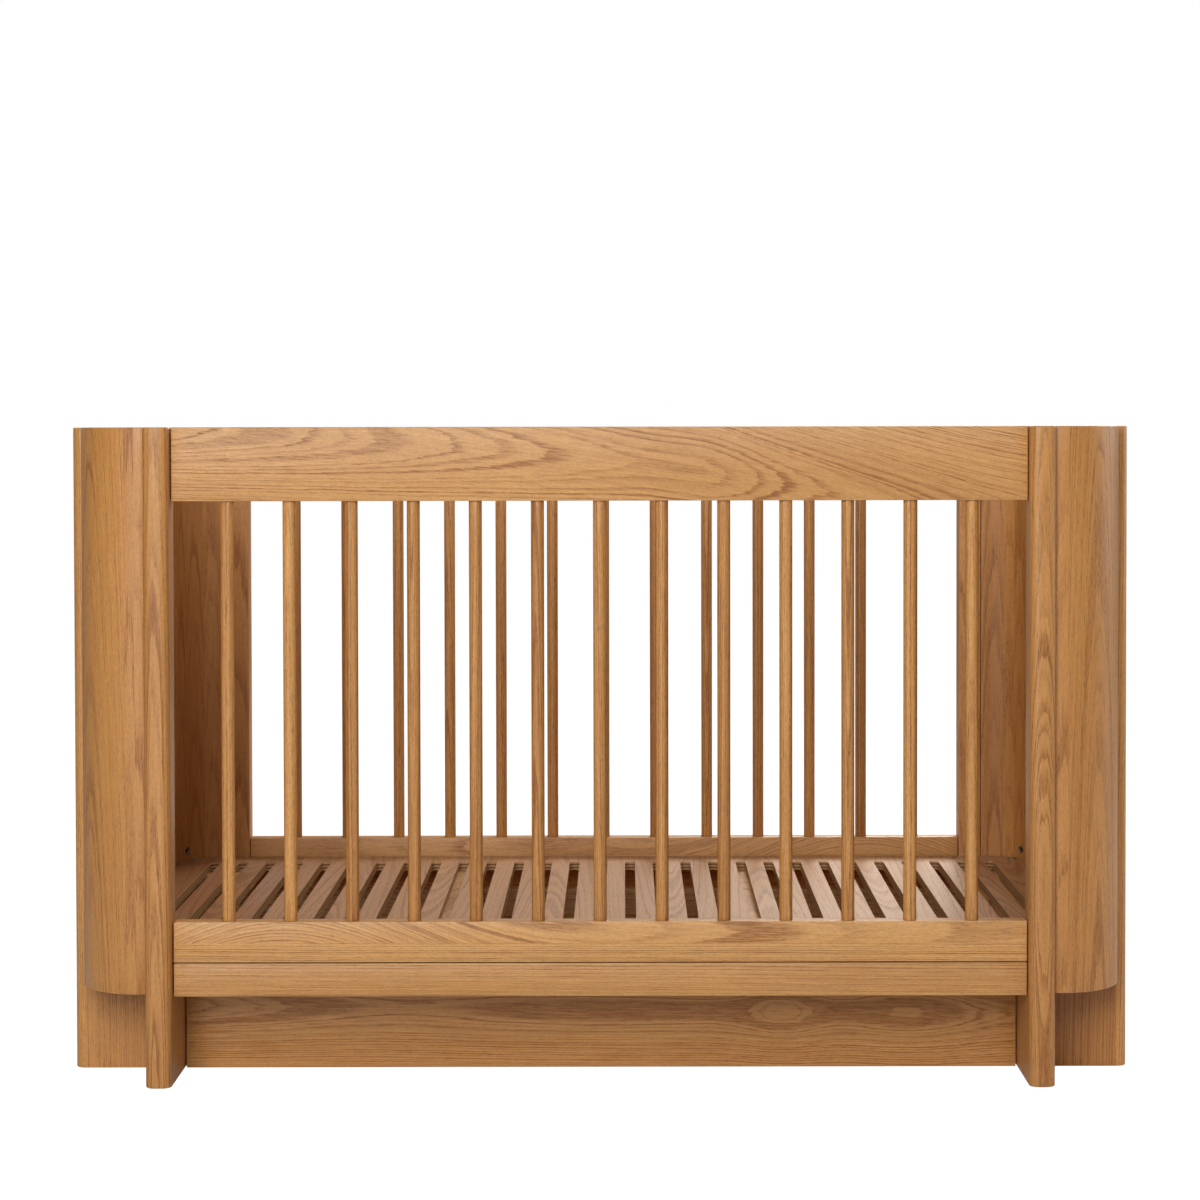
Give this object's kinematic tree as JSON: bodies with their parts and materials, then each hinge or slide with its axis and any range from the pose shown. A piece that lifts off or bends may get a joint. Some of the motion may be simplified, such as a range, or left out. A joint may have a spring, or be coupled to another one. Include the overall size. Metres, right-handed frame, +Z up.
{
  "type": "spindle cot",
  "caption": "Oak spindle cot with rounded corner shells, proud leg planks, a lift-off front side and a slotted mattress base.",
  "frame": {"origin": "on the floor under the middle of the cot, the bottom centre of its box", "axes": "+Z up, +X along the length to the right end, -Y towards the front side that lifts off"},
  "size_m": [1.417, 0.804, 0.863],
  "materials": {
    "oak_boards": "satin",
    "oak_planks": "satin",
    "oak_staves": "satin",
    "oak_spindles": "satin",
    "oak_veneer_ply": "matte",
    "zinc_steel": "satin"
  },
  "bodies": {
    "frame": {"front_apron": "oak_boards", "front_plinth": "oak_boards", "rear_top_rail": "oak_boards", "rear_bottom_rail": "oak_boards", "rear_apron": "oak_boards", "rear_plinth": "oak_boards", "leg_front_left": "oak_planks", "leg_front_right": "oak_planks", "leg_rear_left": "oak_planks", "leg_rear_right": "oak_planks", "side_plank_front_left": "oak_planks", "side_plank_front_right": "oak_planks", "side_plank_rear_left": "oak_planks", "side_plank_rear_right": "oak_planks", "corner_front_left": "oak_staves", "corner_front_right": "oak_staves", "corner_rear_left": "oak_staves", "corner_rear_right": "oak_staves", "end_panel_left": "oak_staves", "end_panel_right": "oak_staves", "rear_spindle_01": "oak_spindles", "rear_spindle_02": "oak_spindles", "rear_spindle_03": "oak_spindles", "rear_spindle_04": "oak_spindles", "rear_spindle_05": "oak_spindles", "rear_spindle_06": "oak_spindles", "rear_spindle_07": "oak_spindles", "rear_spindle_08": "oak_spindles", "rear_spindle_09": "oak_spindles", "rear_spindle_10": "oak_spindles", "rear_spindle_11": "oak_spindles", "rear_spindle_12": "oak_spindles", "rear_spindle_13": "oak_spindles", "insert_front_left": "zinc_steel", "insert_front_right": "zinc_steel", "insert_rear_left": "zinc_steel", "insert_rear_right": "zinc_steel"},
    "front_side": {"front_top_rail": "oak_boards", "front_bottom_rail": "oak_boards", "front_spindle_01": "oak_spindles", "front_spindle_02": "oak_spindles", "front_spindle_03": "oak_spindles", "front_spindle_04": "oak_spindles", "front_spindle_05": "oak_spindles", "front_spindle_06": "oak_spindles", "front_spindle_07": "oak_spindles", "front_spindle_08": "oak_spindles", "front_spindle_09": "oak_spindles", "front_spindle_10": "oak_spindles", "front_spindle_11": "oak_spindles", "front_spindle_12": "oak_spindles", "front_spindle_13": "oak_spindles"},
    "mattress_base_unit": {"mattress_base": "oak_veneer_ply", "base_bearer_left": "oak_boards", "base_bearer_right": "oak_boards", "base_bolt_front_left": "zinc_steel", "base_bolt_front_right": "zinc_steel", "base_bolt_rear_left": "zinc_steel", "base_bolt_rear_right": "zinc_steel"}
  },
  "joints": [
    {"name": "front_side_lift", "type": "slide", "parent": "frame", "child": "front_side", "axis": [0, 0, 1], "range_m": [0, 0.705]},
    {"name": "mattress_base_lift", "type": "slide", "parent": "frame", "child": "mattress_base_unit", "axis": [0, 0, 1], "range_m": [0, 0.705]}
  ]
}
